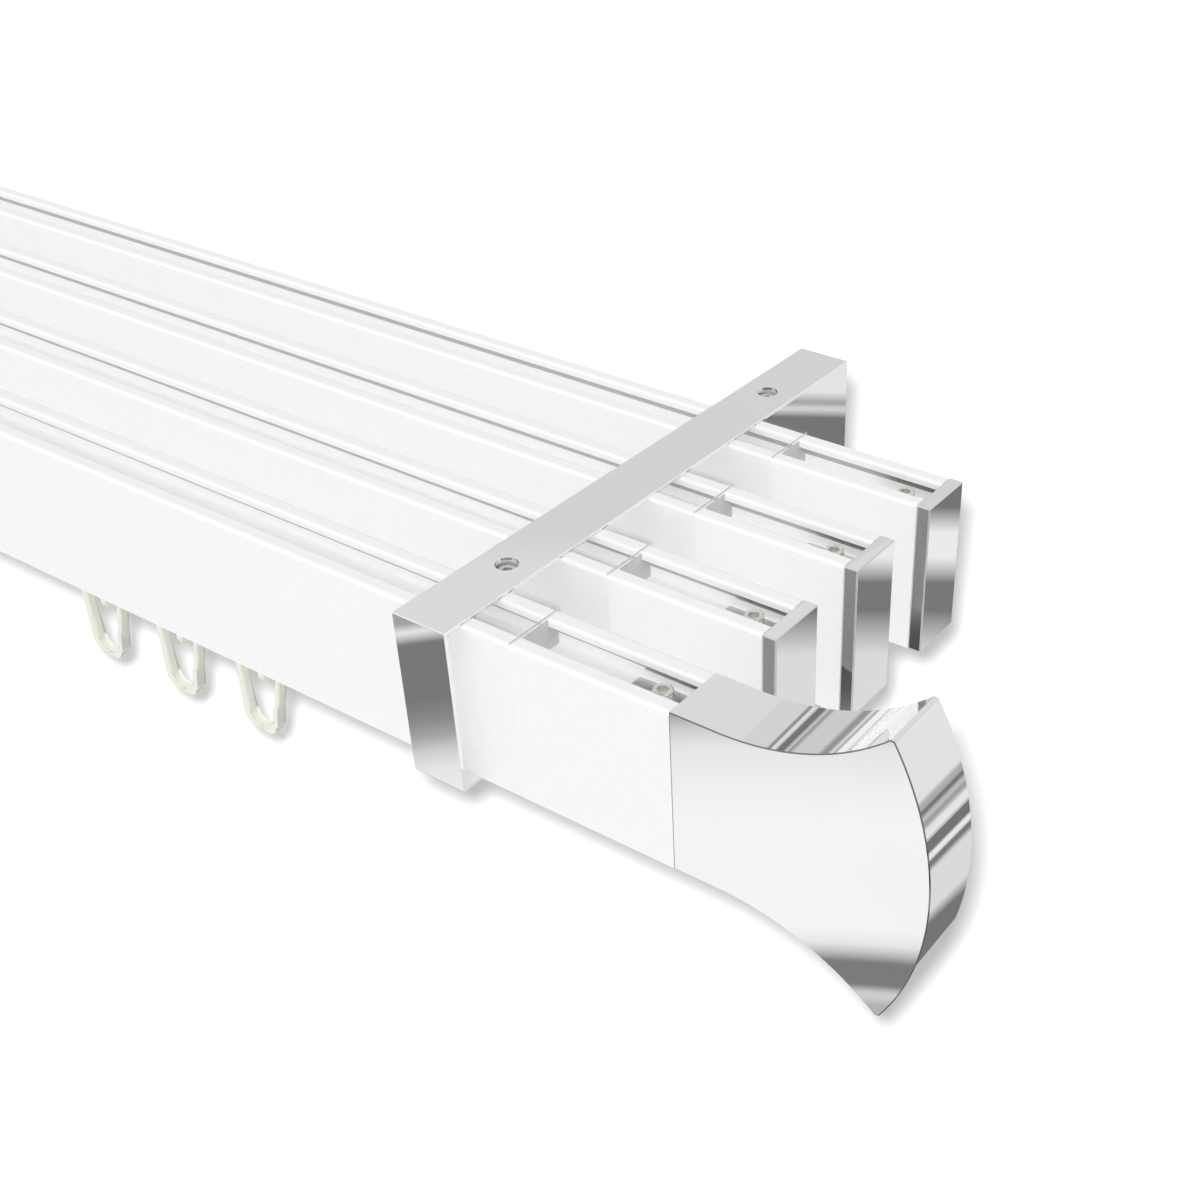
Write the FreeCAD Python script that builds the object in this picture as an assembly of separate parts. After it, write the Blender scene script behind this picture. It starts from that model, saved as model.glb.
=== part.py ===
import FreeCAD, Part
import math
import os

# Curtain track of four slotted rails under two ceiling brackets, in millimetres.
# X runs along the rails, Y from the first rail to the last, Z up.
# The origin is on the ceiling, in the middle of the four ceiling screw holes.

# Rails
rail_length = 600.0
rail_width = 14.0
rail_height = 35.0
rail_pitch = 28.0
rail_count = 4
wall = 1.0
lip = 1.65
lip_slope = 2.65
top_slot = 6.9
top_channel_depth = 6.65
glider_slot = 5.0
glider_lip = 1.45
glider_channel_height = 4.0
outer_edge_radius = 0.8
lip_edge_radius = 0.7

# Ceiling brackets
strap_thickness = 0.8
strap_width = 12.6
strap_depth = 137.6
strap_front_reach = 4.6
strap_lip = 7.4
strap_bend = 0.3
strap_web_gap = 0.1
strap_from_rail_end = 52.7
ceiling_hole_spacing = 89.0
ceiling_hole_radius = 2.35

# Clear hanger clips and their fixings
clip_wall = 0.45
clip_reach = 11.2
clip_foot_reach = 0.4
pin_side = 3.0
pin_fit = 0.05

# End caps, finials and their tongues
plate_thickness = 3.1
plate_edge = 0.3
tongue_bar_length = 15.5
tongue_bar_thickness = 0.5
tongue_bar_width = 10.4
tongue_tine_length = 13.3
tongue_tine_inset = 0.45
tongue_tine_drop = 1.2
tongue_fit = 0.1
screw_radius = 2.0
screw_fit = 0.05
screw_height = 4.75
screw_from_end = 6.5
screw_socket_flats = 2.0
screw_socket_depth = 1.3
blade_straight = 10.0
blade_flare_radius = 48.0
blade_tip_reach = 42.7
blade_reach = 51.1
blade_edge = 0.5
blade_tip_blunt = 0.5

# Gliders and hooks
foot_length = 8.0
foot_width = 11.4
foot_height = 2.2
foot_fit = 0.1
neck_length = 5.0
neck_width = 4.4
neck_drop = 1.0
lug_thickness = 1.8
lug_offset = 0.5
eye_side = 2.4
eye_drop = 41.3
hook_bar_side = 1.6
hook_depth = 2.3
hook_top = 1.4
hook_outer_left = -9.3
hook_inner_left = -7.4
hook_bar_end = 2.4
front_gliders = (185.4, 159.3, 133.2)
rear_gliders = (100.0, -100.0)

# Heights and edges that follow from the sizes above
rail_top = -strap_thickness
rail_bottom = rail_top - rail_height
lip_under = rail_top - lip
channel_floor = rail_top - top_channel_depth
glider_lip_top = rail_bottom + glider_lip
first_front = -strap_depth / 2.0 + strap_front_reach
rail_end = rail_length / 2.0
bracket_x = rail_end - strap_from_rail_end
strap_side = bracket_x + strap_width / 2.0
eye_z = rail_top - eye_drop

# Closest distance that counts as the same place
same = 0.001


# Shape helpers
def box(x0, x1, y0, y1, z0, z1):
    return Part.makeBox(x1 - x0, y1 - y0, z1 - z0, FreeCAD.Vector(x0, y0, z0))


def upright(radius, x, y, z0, z1):
    return Part.makeCylinder(radius, z1 - z0, FreeCAD.Vector(x, y, z0))


def square_post(side, x, y, z0, z1):
    return box(x - side / 2.0, x + side / 2.0, y - side / 2.0, y + side / 2.0, z0, z1)


def hexagon(across_flats, x, y, z0, z1):
    corner = across_flats / math.sqrt(3.0)
    points = []
    for step in range(7):
        turn = math.radians(60.0 * step)
        points.append(FreeCAD.Vector(x + corner * math.cos(turn), y + corner * math.sin(turn), z0))
    face = Part.Face(Part.makePolygon(points))
    return face.extrude(FreeCAD.Vector(0, 0, z1 - z0))


def outline_solid(start, steps, y, depth):
    edges = []
    here = FreeCAD.Vector(start[0], y, start[1])
    for step in steps:
        end = FreeCAD.Vector(step[-2], y, step[-1])
        if len(step) == 4:
            middle = FreeCAD.Vector(step[0], y, step[1])
            edges.append(Part.Arc(here, middle, end).toShape())
        else:
            edges.append(Part.LineSegment(here, end).toShape())
        here = end
    face = Part.Face(Part.Wire(edges))
    return face.extrude(FreeCAD.Vector(0, depth, 0))


def section_solid(points, x0, x1):
    corners = [FreeCAD.Vector(x0, y, z) for y, z in points + points[:1]]
    return Part.Face(Part.makePolygon(corners)).extrude(FreeCAD.Vector(x1 - x0, 0, 0))


def edges_along_x(shape, corners):
    picked = []
    for edge in shape.Edges:
        ends = [vertex.Point for vertex in edge.Vertexes]
        if len(ends) == 2 and abs(ends[0].x - ends[1].x) > same:
            for corner in corners:
                gap = max(abs(ends[0].y - corner[0]), abs(ends[0].z - corner[1]))
                away = max(abs(ends[1].y - corner[0]), abs(ends[1].z - corner[1]))
                if max(gap, away) < same:
                    picked.append(edge)
    return picked


def edges_of_plane_x(shape, x):
    picked = []
    for edge in shape.Edges:
        bounds = edge.BoundBox
        if abs(bounds.XMin - x) < same and abs(bounds.XMax - x) < same:
            picked.append(edge)
    return picked


def mirrored(shape):
    return shape.mirror(FreeCAD.Vector(0, 0, 0), FreeCAD.Vector(1, 0, 0))


def save(name, shapes):
    shape = shapes[0] if len(shapes) == 1 else Part.makeCompound(shapes)
    shape.exportStep(os.path.join("parts", name + ".step"))


def rail_front(number):
    return first_front + rail_pitch * (number - 1)


def rail_middle(number):
    return rail_front(number) + rail_width / 2.0


# Section of a rail's top channel under its sloping lips, smaller all round by a fit
def channel_section(number, fit):
    middle = rail_middle(number)
    half = rail_width / 2.0 - wall - fit
    slot = top_slot / 2.0 - fit
    shoulder = lip_under - lip_slope
    low = channel_floor + fit
    return [
        (middle - half, low),
        (middle - half, shoulder),
        (middle - slot, lip_under),
        (middle + slot, lip_under),
        (middle + half, shoulder),
        (middle + half, low),
    ]


# One rail: slotted channel on top, closed chamber, slotted glider channel below
def make_rail(number):
    front = rail_front(number)
    middle = rail_middle(number)
    inner_front = front + wall
    inner_rear = front + rail_width - wall
    rail = box(-rail_end, rail_end, front, front + rail_width, rail_bottom, rail_top)
    glider_roof = glider_lip_top + glider_channel_height
    cuts = [
        section_solid(channel_section(number, 0.0), -rail_end, rail_end),
        box(-rail_end, rail_end, middle - top_slot / 2.0, middle + top_slot / 2.0, lip_under, rail_top),
        box(-rail_end, rail_end, inner_front, inner_rear, glider_roof + wall, channel_floor - wall),
        box(-rail_end, rail_end, inner_front, inner_rear, glider_lip_top, glider_roof),
        box(-rail_end, rail_end, middle - glider_slot / 2.0, middle + glider_slot / 2.0, rail_bottom, glider_lip_top),
    ]
    rail = rail.cut(cuts[0].multiFuse(cuts[1:]))
    outer = [(front, rail_top), (front + rail_width, rail_top)]
    inner = [(middle - top_slot / 2.0, rail_top), (middle + top_slot / 2.0, rail_top)]
    rail = rail.makeFillet(outer_edge_radius, edges_along_x(rail, outer))
    return rail.makeFillet(lip_edge_radius, edges_along_x(rail, inner))


# Ceiling bracket: a strap over the four rails with a leg and a short lip at each end, and a side web behind
# the last rail that joins strap and rear leg
def make_bracket():
    x0 = bracket_x - strap_width / 2.0
    low = rail_bottom - strap_thickness
    front = -strap_depth / 2.0
    rear = strap_depth / 2.0
    outside = box(x0, strap_side, front, rear, low, 0.0)
    outside = outside.makeFillet(strap_bend, edges_along_x(outside, [(front, low), (front, 0), (rear, low), (rear, 0)]))
    front_in = front + strap_thickness
    rear_in = rear - strap_thickness
    web_side = strap_side - strap_thickness
    web_front = rail_front(rail_count) + rail_width + clip_wall + strap_web_gap
    hollows = [
        box(x0, strap_side, front_in, web_front, rail_bottom, rail_top),
        box(x0, web_side, front_in, rear_in, rail_bottom, rail_top),
        box(x0, strap_side, front + strap_lip, web_front, low, rail_bottom),
        box(x0, web_side, front + strap_lip, rear - strap_lip, low, rail_bottom),
    ]
    bracket = outside.cut(hollows[0].multiFuse(hollows[1:]))
    for side in (-1, 1):
        y = side * ceiling_hole_spacing / 2.0
        bracket = bracket.cut(upright(ceiling_hole_radius, bracket_x, y, rail_top, 0.0))
    return bracket


# Clear clip around one rail: thin side walls, a top plate beside the strap, a foot in the top channel
def make_clip(number):
    front = rail_front(number)
    middle = rail_middle(number)
    x0 = bracket_x - strap_width / 2.0
    x1 = strap_side + clip_reach
    outer_front = front - clip_wall
    outer_rear = front + rail_width + clip_wall
    foot_low = channel_floor + tongue_fit
    key = top_slot / 2.0 - tongue_fit
    pieces = [
        box(strap_side, x1, outer_front, outer_rear, rail_top, rail_top + clip_wall),
        box(x0, x1, outer_front, front, rail_bottom, rail_top),
        box(x0, x1, front + rail_width, outer_rear, rail_bottom, rail_top),
        box(x0, x1 + clip_foot_reach, middle - key, middle + key, foot_low, rail_top),
        section_solid(channel_section(number, tongue_fit), x0, x1 + clip_foot_reach),
    ]
    clip = pieces[0].multiFuse(pieces[1:]).removeSplitter()
    return clip.cut(square_post(pin_side + 2.0 * pin_fit, bracket_x, middle, foot_low, rail_top))


# Square pin under the strap, pressed into the clip's foot
def make_pin(number):
    return square_post(pin_side, bracket_x, rail_middle(number), channel_floor + tongue_fit, rail_top)


# Tongue of a cap or a finial: a wedge under each lip, and on the channel's floor a flat bar bored for the screw
def make_tongue(number):
    middle = rail_middle(number)
    low = channel_floor + tongue_fit
    high = low + tongue_bar_thickness
    bar = tongue_bar_width / 2.0
    bar_x = rail_end - tongue_bar_length
    hole = upright(screw_radius + screw_fit, rail_end - screw_from_end, middle, low, high)
    tongue = [box(bar_x, rail_end, middle - bar, middle + bar, low, high).cut(hole)]
    slot = top_slot / 2.0
    spread = (rail_width / 2.0 - wall - slot) / lip_slope
    inner = slot + tongue_tine_inset
    outer = slot + tongue_tine_drop * spread - tongue_fit
    tine_top = lip_under - (tongue_tine_inset + tongue_fit) / spread
    tine_low = lip_under - tongue_tine_drop
    for side in (-1, 1):
        points = [
            (middle + side * inner, tine_low),
            (middle + side * outer, tine_low),
            (middle + side * inner, tine_top),
        ]
        tongue.append(section_solid(points, rail_end - tongue_tine_length, rail_end))
    return tongue


def make_cap(number):
    front = rail_front(number)
    rear = front + rail_width
    outer = rail_end + plate_thickness
    plate = box(rail_end, outer, front, rear, rail_bottom, rail_top)
    plate = plate.makeChamfer(plate_edge, edges_along_x(plate, [(front, rail_top), (rear, rail_top)]))
    plate = plate.makeChamfer(plate_edge, edges_of_plane_x(plate, outer))
    return plate.multiFuse(make_tongue(number))


# Finial: an axe blade as thick as the rail, with concave flanks and a curved edge
def make_finial(number):
    front = rail_front(number)
    axis_z = (rail_top + rail_bottom) / 2.0
    half = rail_height / 2.0
    straight = rail_end + blade_straight
    run = blade_tip_reach - blade_straight
    rise = blade_flare_radius - math.sqrt(blade_flare_radius ** 2 - run ** 2)
    bulge = blade_reach - blade_tip_reach
    tip_up = half + rise
    edge_radius = (tip_up ** 2 + bulge ** 2) / (2.0 * bulge)
    edge_centre = blade_reach - edge_radius

    def flank(run_here):
        up = half + blade_flare_radius - math.sqrt(blade_flare_radius ** 2 - run_here ** 2)
        return straight + run_here, up

    flank_mid = flank(run / 2.0)
    flank_end = flank(run - blade_tip_blunt)
    edge_up = tip_up - blade_tip_blunt
    edge_x = rail_end + edge_centre + math.sqrt(edge_radius ** 2 - edge_up ** 2)
    blade = outline_solid((rail_end, axis_z + half), [
        (straight, axis_z + half),
        (flank_mid[0], axis_z + flank_mid[1], flank_end[0], axis_z + flank_end[1]),
        (edge_x, axis_z + edge_up),
        (rail_end + blade_reach, axis_z, edge_x, axis_z - edge_up),
        (flank_end[0], axis_z - flank_end[1]),
        (flank_mid[0], axis_z - flank_mid[1], straight, axis_z - half),
        (rail_end, axis_z - half),
        (rail_end, axis_z + half),
    ], front, rail_width)
    cutting = [edge for edge in blade.Edges if edge.BoundBox.ZLength > 2.0 * edge_up - same]
    blade = blade.makeChamfer(blade_edge, cutting)
    return blade.multiFuse(make_tongue(number))


# Grub screw that clamps a tongue in its rail, with a hexagon socket
def make_set_screw(number):
    x = rail_end - screw_from_end
    y = rail_middle(number)
    top = channel_floor + screw_height
    screw = upright(screw_radius, x, y, channel_floor, top)
    return screw.cut(hexagon(screw_socket_flats, x, y, top - screw_socket_depth, top))


# Glider: a foot on the lips of the glider channel, a neck through the slot and a lug with an eye
def make_glider(number, x):
    y = rail_middle(number)
    low = glider_lip_top + foot_fit
    half = neck_width / 2.0
    foot = box(x - foot_length / 2.0, x + foot_length / 2.0, y - foot_width / 2.0, y + foot_width / 2.0,
               low, low + foot_height)
    neck = box(x - neck_length / 2.0, x + neck_length / 2.0, y - half, y + half, rail_bottom - neck_drop, low)
    lug_x = x + lug_offset - lug_thickness / 2.0
    lug = box(lug_x, lug_x + lug_thickness, y - half, y + half, eye_z, low)
    end = Part.makeCylinder(half, lug_thickness, FreeCAD.Vector(lug_x, y, eye_z), FreeCAD.Vector(1, 0, 0))
    reach = eye_side / 2.0
    eye = box(lug_x, lug_x + lug_thickness, y - reach, y + reach, eye_z - reach, eye_z + reach)
    return foot.multiFuse([neck, lug, end]).removeSplitter().cut(eye)


# Hook: an open teardrop strip, hanging by its square bar in the glider's eye
def make_hook(number, x):
    y = rail_middle(number)
    bar = hook_bar_side / 2.0
    points = [
        (hook_outer_left, -13.4),
        (-8.3, -15.9, -5.9, -17.2),
        (-2.4, -17.2),
        (-0.2, -16.3, 0.7, -14.1),
        (3.1, -8.6),
        (3.7, -4.9),
        (5.0, 1.2),
        (3.7, 1.2),
        (2.5, -4.0),
        (2.0, -7.1),
        (1.1, -10.2),
        (-0.6, -13.6),
        (-1.7, -15.6, -3.7, -16.3),
        (-5.3, -16.3),
        (-6.8, -15.4, hook_inner_left, -13.3),
        (hook_inner_left, hook_top),
        (hook_outer_left + bar, hook_top),
        (hook_outer_left, hook_top - bar),
    ]
    steps = []
    for point in points:
        step = []
        for index, value in enumerate(point):
            step.append(value + (x if index % 2 == 0 else eye_z))
        steps.append(tuple(step))
    hook = outline_solid((x + hook_outer_left, eye_z + hook_top - bar), steps, y - hook_depth / 2.0, hook_depth)
    return hook.fuse(box(x + hook_inner_left, x + hook_bar_end, y - bar, y + bar, eye_z - bar, eye_z + bar))


def build():
    os.makedirs("parts", exist_ok=True)
    numbers = range(1, rail_count + 1)
    for number in numbers:
        save("rail_%d" % number, [make_rail(number)])
        clip = make_clip(number)
        save("clip_right_%d" % number, [clip])
        save("clip_left_%d" % number, [mirrored(clip)])
        end_piece = make_finial(number) if number == 1 else make_cap(number)
        end_name = "finial" if number == 1 else "end_cap_%d" % number
        save(end_name + "_right", [end_piece])
        save(end_name + "_left", [mirrored(end_piece)])
        places = front_gliders if number == 1 else rear_gliders
        for place, x in enumerate(places, 1):
            save("glider_%d_%d" % (number, place), [make_glider(number, x)])
            save("hook_%d_%d" % (number, place), [make_hook(number, x)])
    bracket = make_bracket()
    save("bracket_right", [bracket])
    save("bracket_left", [mirrored(bracket)])
    for name, make in (("hanger_pins", make_pin), ("set_screws", make_set_screw)):
        right = [make(number) for number in numbers]
        save(name, right + [mirrored(shape) for shape in right])


build()
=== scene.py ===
import bpy
import bmesh
import math
from mathutils import Matrix, Vector


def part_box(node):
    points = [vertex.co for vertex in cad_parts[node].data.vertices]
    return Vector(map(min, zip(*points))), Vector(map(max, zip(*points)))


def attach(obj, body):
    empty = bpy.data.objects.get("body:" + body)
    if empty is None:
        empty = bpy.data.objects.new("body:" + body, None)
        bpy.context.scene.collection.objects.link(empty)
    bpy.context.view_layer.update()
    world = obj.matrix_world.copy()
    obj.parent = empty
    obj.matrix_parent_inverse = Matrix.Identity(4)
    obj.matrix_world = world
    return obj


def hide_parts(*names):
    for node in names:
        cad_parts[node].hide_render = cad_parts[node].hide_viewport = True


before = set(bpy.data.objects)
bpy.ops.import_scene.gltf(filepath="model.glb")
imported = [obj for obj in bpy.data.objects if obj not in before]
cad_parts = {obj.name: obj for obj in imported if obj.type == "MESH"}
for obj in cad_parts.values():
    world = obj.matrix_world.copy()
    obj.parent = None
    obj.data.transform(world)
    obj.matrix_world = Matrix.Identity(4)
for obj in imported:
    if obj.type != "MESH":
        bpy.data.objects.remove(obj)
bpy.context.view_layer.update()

MM = 0.001

# Camera at the photograph's viewing angle
CAMERA_PLACE = Vector((437.28, -241.12, 166.69)) * MM
CAMERA_TURN = math.radians(34.09)
CAMERA_DIP = math.radians(35.04)
CAMERA_LENS = 50.0
CAMERA_SENSOR = 36.0
CAMERA_SHIFT = (-0.1293, 0.0497)
CAMERA_NEAR = 10.0 * MM

# Floor, lamps and room
FLOOR_Z = -120.0 * MM
FLOOR_SIZE = 6.0
FLOOR_WHITE = 0.35
FLOOR_BOUNCE = 0.25
FLOOR_GLOW = 0.2
SUN_TOWARDS = Vector((-0.30, 0.71, -0.63))
SUN_STRENGTH = 1.65
ROOM_LIGHT = 0.645
SHADOW_LAMP_ASIDE = Vector((-5.0, -3.5, 11.5)) * MM
SHADOW_LAMP_RADIUS = 8.0 * MM
SHADOW_LAMP_POWER = 240.0

# The lamp grows with this power of the squared distance, which makes up for the spread and the slant
# of its rays, so that the floor is evenly lit
EVEN_FLOOR_POWER = 1.5

# Both ends of the track: the sign of their X and their name
ENDS = ((1, "right"), (-1, "left"))

# Rails and their top channel, in millimetres like all sizes of the object
RAIL_COUNT = 4
RAIL_END = 300.0
RAIL_TOP = -0.8
RAIL_HEIGHT = 35.0
RAIL_WIDTH = 14.0
RAIL_PITCH = 28.0
FIRST_FRONT = -64.2
CHANNEL_FLOOR = -7.45

# Tongue of a finial or cap in the top channel
TONGUE_BAR_LENGTH = 15.5
TONGUE_BAR_HALF = 5.2
TONGUE_BAR_LEVELS = (-7.35, -6.85)
TINE_LENGTH = 13.3
TINE_INNER = 3.9
TINE_OUTER = 4.5
TINE_TOP = -3.03
TINE_LOW = -3.65

# Finial and caps: the blade's reaches are measured from the rail's end
BLADE_STRAIGHT = 10.0
BLADE_FLARE_RADIUS = 48.0
BLADE_TIP_REACH = 42.7
BLADE_REACH = 51.09
BLADE_TIP_BLUNT = 0.5
BLADE_BEVEL = 0.2
CAP_THICKNESS = 3.1
CAP_BEVEL = 0.3

# Hooks, measured from the middle of the bar in the glider's eye
EYE_Z = -42.1
HOOK_DEPTH = 2.3
HOOK_BAR = 1.6
HOOK_BAR_END = 2.4
HOOK_BAR_ROUND = 0.25
HOOK_ROUND = 0.6
HOOK_LEFT = -9.3
HOOK_INNER_LEFT = -7.4
HOOK_TOP = 1.4

# Screws with a hexagon socket: the grub screws of the tongues and those of the ceiling holes
SCREW_RADIUS = 2.0
SCREW_FIT = 0.05
SCREW_FROM_END = 6.5
SCREW_TOP = -2.7
SCREW_SOCKET_DEPTH = 1.3
SOCKET_FLATS = 2.0
SOCKET_CHAMFER = 0.1
SOCKET_MOUTH = 1.12
SCREW_RIM = 0.3
SCREW_POINT = 0.4
THREAD_FROM_TOP = 0.2
THREAD_PITCH = 0.7
THREAD_DEPTH = 0.3
BRACKET_X = 247.3
CEILING_HOLE_Y = 44.5
CEILING_SCREW_TOP = -1.3
CEILING_SCREW_RADIUS = 2.3
CEILING_SOCKET_DEPTH = 1.0
CEILING_BOSS_RADIUS = 3.1
CEILING_BOSS_LOW = -3.2
CEILING_BOSS_CHAMFER = 0.3

# Fineness of the meshes
FINIAL_ARC_STEP = 0.8
HOOK_ARC_STEP = 0.5
FEWEST_ARC_PARTS = 3
BLOCK_BEVEL_PARTS = 2
HOOK_ROUND_PARTS = 4
HOLE_SIDES = 32
TUBE_SIDES = 32
SCREW_SIDES = 24
THREAD_RINGS = 6

# A direction with less than this along an axis runs square to the axis
NEARLY_ZERO = 0.001

# Faces that meet at less than this look smooth, and faces with more than four sides are flat outlines
SHARP_ANGLE = math.radians(40.0)
FOUR_SIDES = 4

# A bevel in this slot keeps the finish of the faces beside it
SAME_FINISH = -1

# How squarely a face looks along an axis to count as a side face
SQUARE_ON = 0.95

# Painted shade on the underside of the rails' top lips: how far down a face looks there, and the grey painted
# there as shade
LIP_SHADE_FACING = -0.5
LIP_SHADE = 0.55

# Clear clips: how little of their broad faces shows, and from where along the rail their cut ends are
CLIP_FACE_ALPHA = 0.015
CLIP_END_FROM = 260.0 * MM

# Ivory plastic: how much light goes through its skin, and how deep
IVORY_GLOW = 0.15
IVORY_GLOW_DEPTH = 0.8 * MM

# Where along a noise its darkest and lightest colours begin
TINT_DARK_UNTIL = 0.3
TINT_LIGHT_FROM = 0.7

# Plated finishes: darkest and lightest reflection, smoothest and roughest polish
POLISHED = (0.975, 0.992, 0.01, 0.025)
END_FINISHES = {
    "end": ("chrome",) + POLISHED,
    # Painted dark reflection on the front and rear sides of the caps
    "rim": ("chrome_rim_painted_reflection", 0.36, 0.40, 0.05, 0.08),
    # Painted dark reflection line on the finial's narrow chamfers
    "line": ("chrome_line_painted_reflection", 0.22, 0.26, 0.05, 0.08),
    "edge": ("chrome_edge", 0.93, 0.97, 0.3, 0.4),
    "tongue": ("zinc_tongue", 0.72, 0.76, 0.3, 0.4),
    # Painted shade: the tongue's wedges in a darker zinc than its bar
    "tine": ("zinc_tine_painted_shade", 0.56, 0.60, 0.3, 0.4),
}

# Each face of a finial or cap carries the number of its finish in this list
END_SLOTS = tuple(END_FINISHES)

# Studio around the chrome: upper and lower edge of each strip in degrees, and its brightness
FRONT_STRIPS = (
    (60.0, 0.0, 0.86), (-8.0, -25.6, 0.68), (-26.9, -27.7, 0.18), (-28.2, -29.7, 0.91),
    (-30.2, -33.0, 0.36), (-33.3, -33.3, 0.81), (-33.7, -35.6, 0.19), (-36.35, -36.35, 0.26),
    (-36.9, -36.9, 0.39), (-37.4, -37.4, 0.63), (-38.0, -38.0, 0.80), (-39.3, -39.3, 0.88),
    (-40.5, -44.1, 0.92), (-44.6, -44.6, 0.81), (-44.9, -44.9, 0.53), (-45.2, -45.95, 0.20),
    (-46.2, -46.35, 0.63), (-46.6, -60.0, 0.45),
)
RIGHT_STRIPS = (
    (60.0, 2.4, 0.70), (1.8, 1.4, 0.24), (0.6, -15.6, 0.77), (-17.0, -18.0, 0.42),
    (-18.8, -19.3, 0.18), (-20.5, -20.9, 0.52), (-21.8, -22.5, 0.35), (-24.0, -25.9, 0.79),
    (-26.22, -26.29, 0.39), (-26.42, -26.5, 0.64), (-26.75, -29.5, 0.18), (-30.4, -31.3, 0.84),
    (-32.2, -33.2, 0.19), (-34.8, -44.0, 0.71), (-46.8, -60.0, 0.18),
)
REAR_STRIPS = (
    (60.0, 31.5, 0.71), (30.5, 23.6, 0.65), (22.7, 22.3, 0.26), (21.6, 21.0, 0.74),
    (19.9, 18.2, 0.18), (17.3, 17.0, 0.55), (16.3, 16.0, 0.32), (14.6, 7.0, 0.60),
    (5.3, 3.5, 0.31), (2.5, 2.2, 0.70), (1.0, 0.8, 0.41), (0.0, -15.0, 0.90),
    (-17.0, -60.0, 0.52),
)

# The right strips begin a little to the left of straight ahead
RIGHT_FROM = -0.05


# Y of a rail's front face, with the rails counted from the front
def rail_front(number):
    return FIRST_FRONT + RAIL_PITCH * (number - 1)


def rail_middle(number):
    return rail_front(number) + RAIL_WIDTH / 2.0


def grey(value):
    return (value, value, value)


def add_object(name, data):
    made = bpy.data.objects.new(name, data)
    bpy.context.scene.collection.objects.link(made)
    return made


# Nodes, links and main shader of a material
def parts_of(material):
    material.use_nodes = True
    nodes = material.node_tree.nodes
    return nodes, material.node_tree.links, nodes["Principled BSDF"]


# Each of the next functions adds a step to a material, and all but bump return what comes out of it
def noise(nodes, links, scale, detail=3.0):
    texture = nodes.new("ShaderNodeTexNoise")
    texture.inputs["Scale"].default_value = scale
    texture.inputs["Detail"].default_value = detail
    links.new(nodes.new("ShaderNodeTexCoord").outputs["Object"], texture.inputs["Vector"])
    return texture.outputs["Fac"]


def bump(nodes, links, height, shader, strength, distance):
    node = nodes.new("ShaderNodeBump")
    node.inputs["Strength"].default_value = strength
    node.inputs["Distance"].default_value = distance
    links.new(height, node.inputs["Height"])
    links.new(node.outputs["Normal"], shader.inputs["Normal"])


def spread(nodes, links, value, low, high):
    node = nodes.new("ShaderNodeMapRange")
    node.inputs["To Min"].default_value = low
    node.inputs["To Max"].default_value = high
    links.new(value, node.inputs["Value"])
    return node.outputs["Result"]


def tint(nodes, links, value, dark, light):
    ramp = nodes.new("ShaderNodeValToRGB")
    ramp.color_ramp.elements[0].position = TINT_DARK_UNTIL
    ramp.color_ramp.elements[0].color = dark + (1.0,)
    ramp.color_ramp.elements[1].position = TINT_LIGHT_FROM
    ramp.color_ramp.elements[1].color = light + (1.0,)
    links.new(value, ramp.inputs["Fac"])
    return ramp.outputs["Color"]


def split(nodes, links, vector):
    node = nodes.new("ShaderNodeSeparateXYZ")
    links.new(vector, node.inputs["Vector"])
    return node.outputs


def multiply(nodes, links, first, second):
    node = nodes.new("ShaderNodeMath")
    node.operation = "MULTIPLY"
    links.new(first, node.inputs[0])
    links.new(second, node.inputs[1])
    return node.outputs["Value"]


def reckon(nodes, links, value, operation, limit=0.0):
    node = nodes.new("ShaderNodeMath")
    node.operation = operation
    node.inputs[1].default_value = limit
    links.new(value, node.inputs[0])
    return node.outputs["Value"]


# Colours are sockets, or plain numbers for a grey
def mix_colors(nodes, links, share, first, second):
    mix = nodes.new("ShaderNodeMix")
    mix.data_type = "RGBA"
    links.new(share, mix.inputs[0])
    for value, socket in ((first, mix.inputs[6]), (second, mix.inputs[7])):
        if isinstance(value, float):
            socket.default_value = grey(value) + (1.0,)
        else:
            links.new(value, socket)
    return mix.outputs[2]


# Which way each spot of a surface faces, and where on the object it is
def facing_and_place(nodes, links):
    coords = nodes.new("ShaderNodeTexCoord")
    return split(nodes, links, coords.outputs["Normal"]), split(nodes, links, coords.outputs["Object"])


# A material whose colour and roughness wander between two limits
def make_mottled(name, colors, color_scale, roughness, roughness_scale, metallic=0.0):
    material = bpy.data.materials.new(name)
    nodes, links, shader = parts_of(material)
    shader.inputs["Metallic"].default_value = metallic
    color = tint(nodes, links, noise(nodes, links, color_scale), colors[0], colors[1])
    links.new(color, shader.inputs["Base Color"])
    rough = spread(nodes, links, noise(nodes, links, roughness_scale), roughness[0], roughness[1])
    links.new(rough, shader.inputs["Roughness"])
    return material


# White powder coat: a very fine orange peel over an even white, with painted shade on the underside of the
# top lips
def make_white_coat():
    material = make_mottled(
        "white_coat", colors=(grey(0.90), grey(0.92)), color_scale=900.0,
        roughness=(0.42, 0.5), roughness_scale=2500.0)
    nodes, links, shader = parts_of(material)
    coat = shader.inputs["Base Color"].links[0].from_socket
    facing, place = facing_and_place(nodes, links)
    # Painted shade: faces that look down, above the channel floor, are coloured a darker grey
    downward = reckon(nodes, links, facing["Z"], "LESS_THAN", LIP_SHADE_FACING)
    high = reckon(nodes, links, place["Z"], "GREATER_THAN", CHANNEL_FLOOR * MM)
    painted_lip_shade = multiply(nodes, links, downward, high)
    links.new(mix_colors(nodes, links, painted_lip_shade, coat, LIP_SHADE), shader.inputs["Base Color"])
    shader.inputs["Specular IOR Level"].default_value = 0.2
    peel = noise(nodes, links, 3200.0, detail=2.0)
    bump(nodes, links, peel, shader, strength=0.08, distance=0.02 * MM)
    return material


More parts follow.
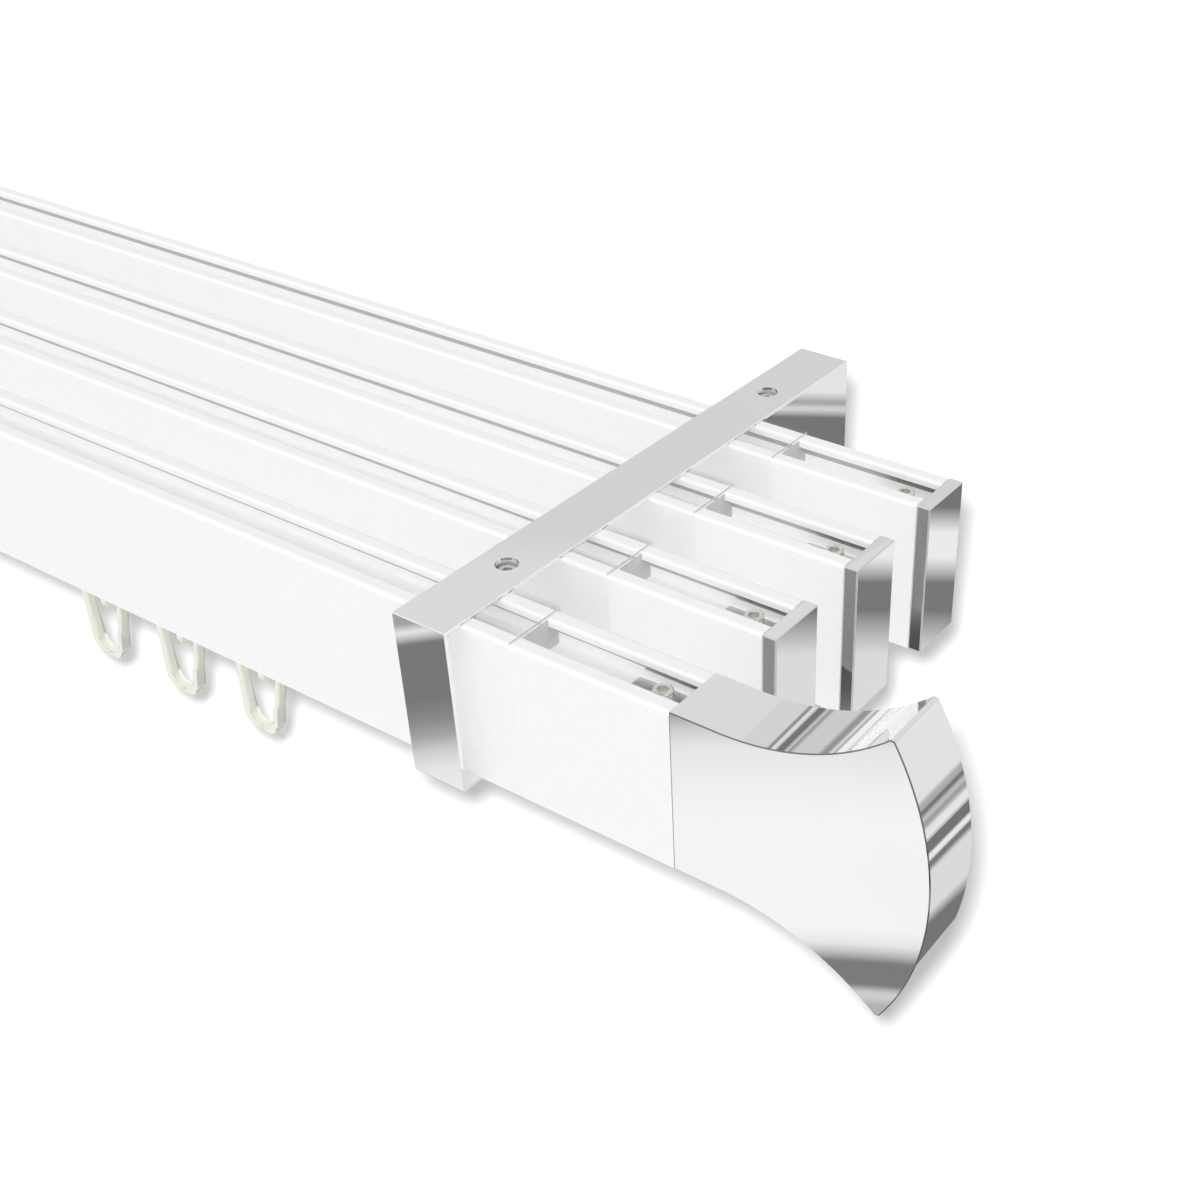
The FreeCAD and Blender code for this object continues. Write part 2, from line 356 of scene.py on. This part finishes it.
# Plated metal with very faint polishing marks
def make_chrome(name, dark, light, smooth, rough):
    return make_mottled(
        name, colors=(grey(dark), grey(light)), color_scale=40.0,
        roughness=(smooth, rough), roughness_scale=300.0, metallic=1.0)


# Chrome of the bracket: the narrow side of its top strap is a plain cut, its broad faces are polished
def make_bracket_chrome():
    material = make_chrome("chrome_bracket", *POLISHED)
    nodes, links, shader = parts_of(material)
    facing, place = facing_and_place(nodes, links)
    sideways = reckon(nodes, links, facing["X"], "ABSOLUTE")
    side_face = reckon(nodes, links, sideways, "GREATER_THAN", SQUARE_ON)
    on_strap = reckon(nodes, links, place["Z"], "GREATER_THAN", RAIL_TOP * MM)
    plain_cut = multiply(nodes, links, side_face, on_strap)
    links.new(spread(nodes, links, plain_cut, 1.0, 0.0), shader.inputs["Metallic"])
    return material


# Clear moulded plastic of the hanger clips: its broad faces are nearly invisible, and its cut ends are opaque
# and grey, the grey a painted shade on those ends
def make_clear_plastic():
    material = make_mottled(
        "clear_plastic", colors=(grey(0.62), grey(0.66)), color_scale=200.0,
        roughness=(0.3, 0.4), roughness_scale=600.0)
    nodes, links, shader = parts_of(material)
    shader.inputs["Specular IOR Level"].default_value = 0.1
    facing, place = facing_and_place(nodes, links)
    outward = multiply(nodes, links, facing["X"], place["X"])
    at_end = reckon(nodes, links, outward, "GREATER_THAN", CLIP_END_FROM)
    from_first = reckon(nodes, links, place["Y"], "SUBTRACT", rail_middle(1) * MM)
    from_middle = reckon(nodes, links, from_first, "PINGPONG", RAIL_PITCH * MM / 2.0)
    over_rail = reckon(nodes, links, from_middle, "LESS_THAN", RAIL_WIDTH * MM / 2.0)
    cut_end = multiply(nodes, links, at_end, over_rail)
    links.new(spread(nodes, links, cut_end, CLIP_FACE_ALPHA, 1.0), shader.inputs["Alpha"])
    return material


# Ivory moulded plastic of the gliders and hooks
def make_ivory_plastic():
    material = make_mottled(
        "ivory_plastic", colors=((0.84, 0.84, 0.74), (0.88, 0.88, 0.79)), color_scale=500.0,
        roughness=(0.25, 0.35), roughness_scale=1500.0)
    nodes, links, shader = parts_of(material)
    shader.inputs["Subsurface Weight"].default_value = IVORY_GLOW
    shader.inputs["Subsurface Scale"].default_value = IVORY_GLOW_DEPTH
    bump(nodes, links, noise(nodes, links, 2500.0), shader, strength=0.05, distance=0.02 * MM)
    return material


# Zinc-plated steel of the grub screws
def make_screw_steel():
    return make_mottled(
        "screw_steel", colors=((0.70, 0.69, 0.65), (0.86, 0.85, 0.81)), color_scale=1500.0,
        roughness=(0.25, 0.4), roughness_scale=2500.0, metallic=0.8)


# Finishes by the first word of a node's name, and those of the ends' faces
def make_finishes():
    finishes = {
        "rail": make_white_coat(),
        "bracket": make_bracket_chrome(),
        "clip": make_clear_plastic(),
        "glider": make_ivory_plastic(),
        "set": make_screw_steel(),
    }
    for slot, values in END_FINISHES.items():
        finishes[slot] = make_chrome(*values)
    finishes["finial"] = finishes["end"]
    finishes["hook"] = finishes["glider"]
    finishes["hanger"] = finishes["set"]
    return finishes


# Each solid's mesh gets the finish of its kind
def finish_nodes(finishes):
    for name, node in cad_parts.items():
        node.data.materials.clear()
        node.data.materials.append(finishes[name.split("_")[0]])


# A mesh in millimetres becomes a piece that rides on a body and may stand for a solid
def add_piece(name, mesh_code, material, body, stands_for=None):
    bmesh.ops.recalc_face_normals(mesh_code, faces=mesh_code.faces)
    mesh = bpy.data.meshes.new(name)
    mesh_code.to_mesh(mesh)
    mesh_code.free()
    mesh.transform(Matrix.Scale(MM, 4))
    even_normals(mesh)
    mesh.materials.append(material)
    piece = add_object(name, mesh)
    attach(piece, body)
    if stands_for:
        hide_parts(stands_for)
    return piece


# Corner normals that follow the larger faces, so that broad faces look flat beside their bevels
def even_normals(mesh):
    around = [[] for vert in mesh.vertices]
    for face in mesh.polygons:
        face.use_smooth = len(face.vertices) <= FOUR_SIDES
        for corner in face.vertices:
            around[corner].append(face)
    normals = []
    for face in mesh.polygons:
        for corner in face.vertices:
            beside = around[corner] if face.use_smooth else [face]
            total = Vector()
            for other in beside:
                if face.normal.dot(other.normal) > math.cos(SHARP_ANGLE):
                    total += other.normal * other.area
            normals.append(total.normalized())
    mesh.normals_split_custom_set(normals)


def bevel(mesh_code, edges, width, parts, slot=SAME_FINISH):
    bmesh.ops.bevel(mesh_code, geom=edges, offset=width, segments=parts, profile=0.5, affect="EDGES",
                    clamp_overlap=True, material=slot)


# A box between two corners, with rounded edges
def add_block(mesh_code, low, high, rounding, slot=SAME_FINISH):
    made = bmesh.ops.create_cube(mesh_code, size=1.0)["verts"]
    for vert in made:
        for axis in range(3):
            middle = (low[axis] + high[axis]) / 2.0
            vert.co[axis] = middle + vert.co[axis] * (high[axis] - low[axis])
    edges = list({edge for vert in made for edge in vert.link_edges})
    bevel(mesh_code, edges, rounding, BLOCK_BEVEL_PARTS, slot)


# Points along an outline: a step is the end of a line, or a middle point and the end of an arc
def outline_points(start, steps, arc_step):
    points = [Vector(start)]
    for step in steps:
        end = Vector(step[-2:])
        if len(step) == 2:
            points.append(end)
            continue
        begin = points[-1].copy()
        centre, radius = arc_centre(begin, Vector(step[:2]), end)
        from_turn = math.atan2(begin.y - centre.y, begin.x - centre.x)
        sweep = arc_sweep(begin - centre, Vector(step[:2]) - centre, end - centre)
        arc_parts = max(FEWEST_ARC_PARTS, round(abs(sweep) * radius / arc_step))
        for part in range(1, arc_parts + 1):
            turn = from_turn + sweep * part / arc_parts
            points.append(centre + radius * Vector((math.cos(turn), math.sin(turn))))
    return points


# Centre and radius of the circle through three points
def arc_centre(a, b, c):
    twice = 2.0 * (a.x * (b.y - c.y) + b.x * (c.y - a.y) + c.x * (a.y - b.y))
    squares = (a.length_squared, b.length_squared, c.length_squared)
    rises = (b.y - c.y, c.y - a.y, a.y - b.y)
    runs = (c.x - b.x, a.x - c.x, b.x - a.x)
    x = sum(square * rise for square, rise in zip(squares, rises)) / twice
    y = sum(square * run for square, run in zip(squares, runs)) / twice
    centre = Vector((x, y))
    return centre, (a - centre).length


# Turn from the first to the last of three points on a circle, as seen from its centre
def arc_sweep(a, b, c):
    first = math.atan2(a.x * b.y - a.y * b.x, a.dot(b))
    second = math.atan2(b.x * c.y - b.y * c.x, b.dot(c))
    return first + second


# A ring of corners for an outline in X and Z
def outline_ring(mesh_code, points, y):
    return [mesh_code.verts.new((point.x, y, point.y)) for point in points]


# Quads from each side of a ring to the same side of the next ring
def join_rings(mesh_code, first, second, finish=None):
    for index in range(len(first)):
        after = (index + 1) % len(first)
        face = mesh_code.faces.new((first[index], first[after], second[after], second[index]))
        if finish:
            face.material_index = END_SLOTS.index(finish)


# A flat outline with a thickness in Y, which gives the edges of its two rims
def add_slab(mesh_code, points, front, rear):
    rings = [outline_ring(mesh_code, points, y) for y in (front, rear)]
    rims = []
    for ring in rings:
        rims.extend(mesh_code.faces.new(ring).edges)
    join_rings(mesh_code, rings[0], rings[1])
    return rims


# A clockwise outline moved inward by a width
def inset(points, width):
    moved = []
    for index, point in enumerate(points):
        before = (point - points[index - 1]).normalized()
        after = (points[(index + 1) % len(points)] - point).normalized()
        ahead = (before + after).normalized()
        moved.append(point + Vector((ahead.y, -ahead.x)) * width / ahead.dot(after))
    return moved


# A slab whose front and rear rims have a narrow chamfer in a dark chrome, a painted dark reflection line
def add_chamfered_slab(mesh_code, points, front, rear, width):
    narrow = inset(points, width)
    levels = ((narrow, front), (points, front + width), (points, rear - width), (narrow, rear))
    rings = [outline_ring(mesh_code, outline, y) for outline, y in levels]
    mesh_code.faces.new(rings[0])
    mesh_code.faces.new(rings[-1])
    # The chamfers take the painted dark reflection line
    for first, second, finish in zip(rings, rings[1:], ("line", "end", "line")):
        join_rings(mesh_code, first, second, finish)


# Tongue in a rail's top channel: a wedge under each lip and a flat bar on the floor
def add_tongue(mesh_code, middle):
    wedge = ((TINE_INNER, TINE_LOW), (TINE_OUTER, TINE_LOW), (TINE_INNER, TINE_TOP))
    for side in (-1, 1):
        rings = []
        for x in (RAIL_END - TINE_LENGTH, RAIL_END):
            rings.append([mesh_code.verts.new((x, middle + side * across, z)) for across, z in wedge])
            # The wedges take a darker zinc, painted shade on their faces
            mesh_code.faces.new(rings[-1]).material_index = END_SLOTS.index("tine")
        join_rings(mesh_code, rings[0], rings[1], "tine")
    low = (RAIL_END - TONGUE_BAR_LENGTH, middle - TONGUE_BAR_HALF)
    high = (RAIL_END, middle + TONGUE_BAR_HALF)
    hole = (RAIL_END - SCREW_FROM_END, middle)
    add_holed_plate(mesh_code, low, high, TONGUE_BAR_LEVELS, hole, SCREW_RADIUS + SCREW_FIT)


# A rectangular plate with a round hole, cut into wedges around the hole
def add_holed_plate(mesh_code, low, high, levels, centre, radius):
    turns = [math.tau * step / HOLE_SIDES for step in range(HOLE_SIDES)]
    for x in (low[0], high[0]):
        for y in (low[1], high[1]):
            turns.append(math.atan2(y - centre[1], x - centre[0]) % math.tau)
    rings = []
    for turn in sorted(turns):
        ahead = (math.cos(turn), math.sin(turn))
        reaches = []
        for axis in range(2):
            if abs(ahead[axis]) > NEARLY_ZERO:
                side = high if ahead[axis] > 0.0 else low
                reaches.append((side[axis] - centre[axis]) / ahead[axis])
        border = min(reaches)
        section = ((radius, levels[0]), (radius, levels[1]), (border, levels[1]), (border, levels[0]))
        rings.append([mesh_code.verts.new((centre[0] + ahead[0] * reach, centre[1] + ahead[1] * reach, level))
                      for reach, level in section])
    for ring, after in zip(rings, rings[1:] + rings[:1]):
        join_rings(mesh_code, ring, after, "tongue")


# The ends are built at the right, and mirrored for the left
def mirror_to(mesh_code, side):
    for vert in mesh_code.verts:
        vert.co.x *= side


# Finial: an axe blade with concave flanks and a curved edge
def make_finial(name, side, finishes):
    half = RAIL_HEIGHT / 2.0
    axis_z = RAIL_TOP - half
    straight = RAIL_END + BLADE_STRAIGHT
    run = BLADE_TIP_REACH - BLADE_STRAIGHT

    def flank(along):
        up = half + BLADE_FLARE_RADIUS - math.sqrt(BLADE_FLARE_RADIUS ** 2 - along ** 2)
        return straight + along, up

    tip_up = flank(run)[1]
    bulge = BLADE_REACH - BLADE_TIP_REACH
    edge_radius = (tip_up ** 2 + bulge ** 2) / (2.0 * bulge)
    edge_up = tip_up - BLADE_TIP_BLUNT
    edge_x = RAIL_END + BLADE_REACH - edge_radius + math.sqrt(edge_radius ** 2 - edge_up ** 2)
    mid_x, mid_up = flank(run / 2.0)
    blunt_x, blunt_up = flank(run - BLADE_TIP_BLUNT)
    points = outline_points((RAIL_END, axis_z + half), [
        (straight, axis_z + half),
        (mid_x, axis_z + mid_up, blunt_x, axis_z + blunt_up),
        (edge_x, axis_z + edge_up),
        (RAIL_END + BLADE_REACH, axis_z, edge_x, axis_z - edge_up),
        (blunt_x, axis_z - blunt_up),
        (mid_x, axis_z - mid_up, straight, axis_z - half),
        (RAIL_END, axis_z - half),
    ], FINIAL_ARC_STEP)
    mesh_code = bmesh.new()
    add_chamfered_slab(mesh_code, points, rail_front(1), rail_front(1) + RAIL_WIDTH, BLADE_BEVEL)
    add_tongue(mesh_code, rail_middle(1))
    mirror_to(mesh_code, side)
    add_end_piece(name, mesh_code, finishes)


# End cap: a plate over the rail's end, with bevelled rims, and front and rear sides in a darker chrome that
# is a painted dark reflection
def make_cap(name, number, side, finishes):
    low = (RAIL_END, rail_front(number), RAIL_TOP - RAIL_HEIGHT)
    high = (RAIL_END + CAP_THICKNESS, rail_front(number) + RAIL_WIDTH, RAIL_TOP)
    mesh_code = bmesh.new()
    add_block(mesh_code, low, high, CAP_BEVEL, END_SLOTS.index("edge"))
    for face in mesh_code.faces:
        face.normal_update()
        # Painted dark reflection: the front and rear sides take the darker rim chrome
        if abs(face.normal.y) > SQUARE_ON:
            face.material_index = END_SLOTS.index("rim")
    add_tongue(mesh_code, rail_middle(number))
    mirror_to(mesh_code, side)
    add_end_piece(name, mesh_code, finishes)


# A finial or cap with the finishes of all its faces
def add_end_piece(name, mesh_code, finishes):
    piece = add_piece(name + "_dressed", mesh_code, finishes[END_SLOTS[0]], "track", name)
    for finish in END_SLOTS[1:]:
        piece.data.materials.append(finishes[finish])


# Hook: an open teardrop strip and a bar that sits in the glider's eye
def make_hook(name, place_x, middle, ivory):
    bar = HOOK_BAR / 2.0
    points = outline_points((HOOK_LEFT, HOOK_TOP - bar), [
        (HOOK_LEFT, -13.4),
        (-8.3, -15.9, -5.9, -17.2),
        (-2.4, -17.2),
        (-0.2, -16.3, 0.7, -14.1),
        (3.1, -8.6),
        (3.7, -4.9),
        (5.0, 1.2),
        (3.7, 1.2),
        (2.5, -4.0),
        (2.0, -7.1),
        (1.1, -10.2),
        (-0.6, -13.6),
        (-1.7, -15.6, -3.7, -16.3),
        (-5.3, -16.3),
        (-6.8, -15.4, HOOK_INNER_LEFT, -13.3),
        (HOOK_INNER_LEFT, HOOK_TOP),
        (HOOK_LEFT + bar, HOOK_TOP),
    ], HOOK_ARC_STEP)
    mesh_code = bmesh.new()
    rims = add_slab(mesh_code, points, -HOOK_DEPTH / 2.0, HOOK_DEPTH / 2.0)
    bevel(mesh_code, rims, HOOK_ROUND, HOOK_ROUND_PARTS)
    add_block(mesh_code, (HOOK_INNER_LEFT - HOOK_ROUND, -bar, -bar), (HOOK_BAR_END, bar, bar), HOOK_BAR_ROUND)
    for vert in mesh_code.verts:
        vert.co += Vector((place_x, middle, EYE_Z))
    add_piece(name + "_dressed", mesh_code, ivory, name, name)


# Grub screw with a hexagon socket and a helical thread, ring by ring from the socket's floor
def add_screw(mesh_code, x, y, top, low, radius, socket_depth):
    turns = [math.tau * step / SCREW_SIDES for step in range(SCREW_SIDES)]
    sixth = math.tau / 6.0
    socket = [SOCKET_FLATS / 2.0 / math.cos((turn + sixth / 2.0) % sixth - sixth / 2.0) for turn in turns]
    levels = [
        (socket, top - socket_depth),
        (socket, top - SOCKET_CHAMFER),
        ([reach * SOCKET_MOUTH for reach in socket], top),
        ([radius - SCREW_RIM] * SCREW_SIDES, top),
    ]
    z = top - THREAD_FROM_TOP
    while z > low:
        along = [((z - top) / THREAD_PITCH - turn / math.tau) % 1.0 for turn in turns]
        levels.append(([radius - THREAD_DEPTH * abs(part * 2.0 - 1.0) for part in along], z))
        z -= THREAD_PITCH / THREAD_RINGS
    levels.append(([radius - SCREW_POINT] * SCREW_SIDES, low))
    rings = []
    for reaches, z in levels:
        rings.append([mesh_code.verts.new((x + reach * math.cos(turn), y + reach * math.sin(turn), z))
                      for reach, turn in zip(reaches, turns)])
    mesh_code.faces.new(rings[0])
    for above, below in zip(rings, rings[1:]):
        join_rings(mesh_code, above, below)
    mesh_code.faces.new(rings[-1])


# Grub screw in the tongue at both ends of each rail
def make_set_screws(steel):
    for side, end in ENDS:
        for number in range(1, RAIL_COUNT + 1):
            mesh_code = bmesh.new()
            add_screw(mesh_code, RAIL_END - SCREW_FROM_END, rail_middle(number), SCREW_TOP, CHANNEL_FLOOR,
                      SCREW_RADIUS, SCREW_SOCKET_DEPTH)
            mirror_to(mesh_code, side)
            name = "set_screw_%d_%s" % (number, end)
            add_piece(name, mesh_code, steel, "track", "set_screws")


# Threaded boss under each ceiling hole of a bracket, with its grub screw
def make_ceiling_screws(zinc):
    for side, end in ENDS:
        for place, y in (("front", -CEILING_HOLE_Y), ("rear", CEILING_HOLE_Y)):
            mesh_code = bmesh.new()
            add_screw(mesh_code, BRACKET_X, y, CEILING_SCREW_TOP, CEILING_BOSS_LOW, CEILING_SCREW_RADIUS,
                      CEILING_SOCKET_DEPTH)
            add_tube(mesh_code, BRACKET_X, y, CEILING_SCREW_RADIUS, CEILING_BOSS_RADIUS, CEILING_BOSS_LOW,
                     RAIL_TOP, CEILING_BOSS_CHAMFER)
            mirror_to(mesh_code, side)
            add_piece("ceiling_screw_%s_%s" % (place, end), mesh_code, zinc, "track")


# Upright tube with a chamfer around its lower end
def add_tube(mesh_code, x, y, inner, outer, low, high, chamfer):
    profile = ((inner, low), (outer - chamfer, low), (outer, low + chamfer), (outer, high), (inner, high))
    rings = []
    for step in range(TUBE_SIDES):
        turn = math.tau * step / TUBE_SIDES
        rings.append([mesh_code.verts.new((x + reach * math.cos(turn), y + reach * math.sin(turn), z))
                      for reach, z in profile])
    for ring, after in zip(rings, rings[1:] + rings[:1]):
        join_rings(mesh_code, ring, after)


# All that is built here: the ends, the hooks and the screws
def make_pieces(finishes):
    for side, end in ENDS:
        make_finial("finial_" + end, side, finishes)
        for number in range(2, RAIL_COUNT + 1):
            make_cap("end_cap_%d_%s" % (number, end), number, side, finishes)
    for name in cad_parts:
        if name.startswith("hook"):
            low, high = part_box(name)
            place_x = low[0] / MM - HOOK_LEFT
            middle = (low[1] + high[1]) / 2.0 / MM
            make_hook(name, place_x, middle, finishes["hook"])
    make_set_screws(finishes["set"])
    make_ceiling_screws(finishes["tongue"])


# Pale floor: it takes the object's shadow and shows white to the camera
def make_floor():
    mesh = bpy.data.meshes.new("floor")
    half = FLOOR_SIZE / 2.0
    corners = [(-half, -half, FLOOR_Z), (half, -half, FLOOR_Z), (half, half, FLOOR_Z), (-half, half, FLOOR_Z)]
    mesh.from_pydata(corners, [], [(0, 1, 2, 3)])
    floor = add_object("floor", mesh)
    material = bpy.data.materials.new("floor_white")
    nodes, links, shader = parts_of(material)
    seen = nodes.new("ShaderNodeLightPath").outputs["Is Camera Ray"]
    links.new(mix_colors(nodes, links, seen, FLOOR_BOUNCE, FLOOR_WHITE), shader.inputs["Base Color"])
    shader.inputs["Roughness"].default_value = 1.0
    shader.inputs["Specular IOR Level"].default_value = 0.0
    shader.inputs["Emission Color"].default_value = grey(1.0) + (1.0,)
    links.new(spread(nodes, links, seen, 0.0, FLOOR_GLOW), shader.inputs["Emission Strength"])
    mesh.materials.append(material)
    floor.visible_glossy = False
    return floor


# Brightness by the height of a ray, even on each strip and sloping between strips
def strip_levels(nodes, links, height, strips):
    level = strips[0][2]
    for above, below in zip(strips, strips[1:]):
        slope = nodes.new("ShaderNodeMapRange")
        slope.inputs["From Min"].default_value = math.radians(above[1])
        slope.inputs["From Max"].default_value = math.radians(below[0])
        slope.inputs["To Min"].default_value = 0.0
        slope.inputs["To Max"].default_value = below[2] - above[2]
        links.new(height, slope.inputs["Value"])
        total = nodes.new("ShaderNodeMath")
        links.new(slope.outputs["Result"], total.inputs[0])
        if isinstance(level, float):
            total.inputs[1].default_value = level
        else:
            links.new(level, total.inputs[1])
        level = total.outputs["Value"]
    return level


# Even light from all around, with strips that only the polished parts reflect
def make_world():
    world = bpy.data.worlds.new("studio")
    bpy.context.scene.world = world
    world.use_nodes = True
    nodes = world.node_tree.nodes
    links = world.node_tree.links
    ahead = split(nodes, links, nodes.new("ShaderNodeTexCoord").outputs["Generated"])
    height = reckon(nodes, links, ahead["Z"], "ARCSINE")
    front = strip_levels(nodes, links, height, FRONT_STRIPS)
    right = strip_levels(nodes, links, height, RIGHT_STRIPS)
    rear = strip_levels(nodes, links, height, REAR_STRIPS)
    to_right = reckon(nodes, links, ahead["X"], "GREATER_THAN", RIGHT_FROM)
    to_front = reckon(nodes, links, ahead["Y"], "LESS_THAN", 0.0)
    behind = mix_colors(nodes, links, to_right, rear, right)
    around = mix_colors(nodes, links, to_front, behind, front)
    ray = nodes.new("ShaderNodeLightPath")
    seen = mix_colors(nodes, links, ray.outputs["Is Glossy Ray"], ROOM_LIGHT, around)
    seen = mix_colors(nodes, links, ray.outputs["Is Camera Ray"], seen, 1.0)
    links.new(seen, nodes["Background"].inputs["Color"])


# Even lamp on the object: it throws no shadow of one part on another
def make_sun():
    data = bpy.data.lights.new("sun", "SUN")
    data.energy = SUN_STRENGTH
    data.use_shadow = False
    sun = add_object("sun", data)
    sun.rotation_euler = SUN_TOWARDS.to_track_quat("-Z", "Y").to_euler()
    sun.visible_glossy = False


# Lamp beside the camera that lights the floor alone and throws the object's soft shadow on it
def make_shadow_lamp(floor):
    data = bpy.data.lights.new("shadow_lamp", "POINT")
    data.energy = SHADOW_LAMP_POWER
    data.shadow_soft_size = SHADOW_LAMP_RADIUS
    data.use_nodes = True
    nodes = data.node_tree.nodes
    links = data.node_tree.links
    falloff = nodes.new("ShaderNodeLightFalloff")
    falloff.inputs["Strength"].default_value = 1.0
    even = reckon(nodes, links, falloff.outputs["Constant"], "POWER", EVEN_FLOOR_POWER)
    links.new(even, nodes["Emission"].inputs["Strength"])
    lamp = add_object("shadow_lamp", data)
    lamp.location = CAMERA_PLACE + SHADOW_LAMP_ASIDE
    lamp.visible_glossy = False
    lit = bpy.data.collections.new("lit_floor")
    lit.objects.link(floor)
    lamp.light_linking.receiver_collection = lit


def make_camera():
    data = bpy.data.cameras.new("camera")
    data.lens = CAMERA_LENS
    data.sensor_width = CAMERA_SENSOR
    data.shift_x = CAMERA_SHIFT[0]
    data.shift_y = CAMERA_SHIFT[1]
    data.clip_start = CAMERA_NEAR
    camera = add_object("camera", data)
    level = math.cos(CAMERA_DIP)
    look = Vector((-math.sin(CAMERA_TURN) * level, math.cos(CAMERA_TURN) * level, -math.sin(CAMERA_DIP)))
    camera.location = CAMERA_PLACE
    camera.rotation_euler = look.to_track_quat("-Z", "Y").to_euler()
    bpy.context.scene.camera = camera


finishes = make_finishes()
finish_nodes(finishes)
make_pieces(finishes)
floor = make_floor()
make_world()
make_sun()
make_shadow_lamp(floor)
make_camera()
bpy.context.scene.view_settings.view_transform = "Standard"
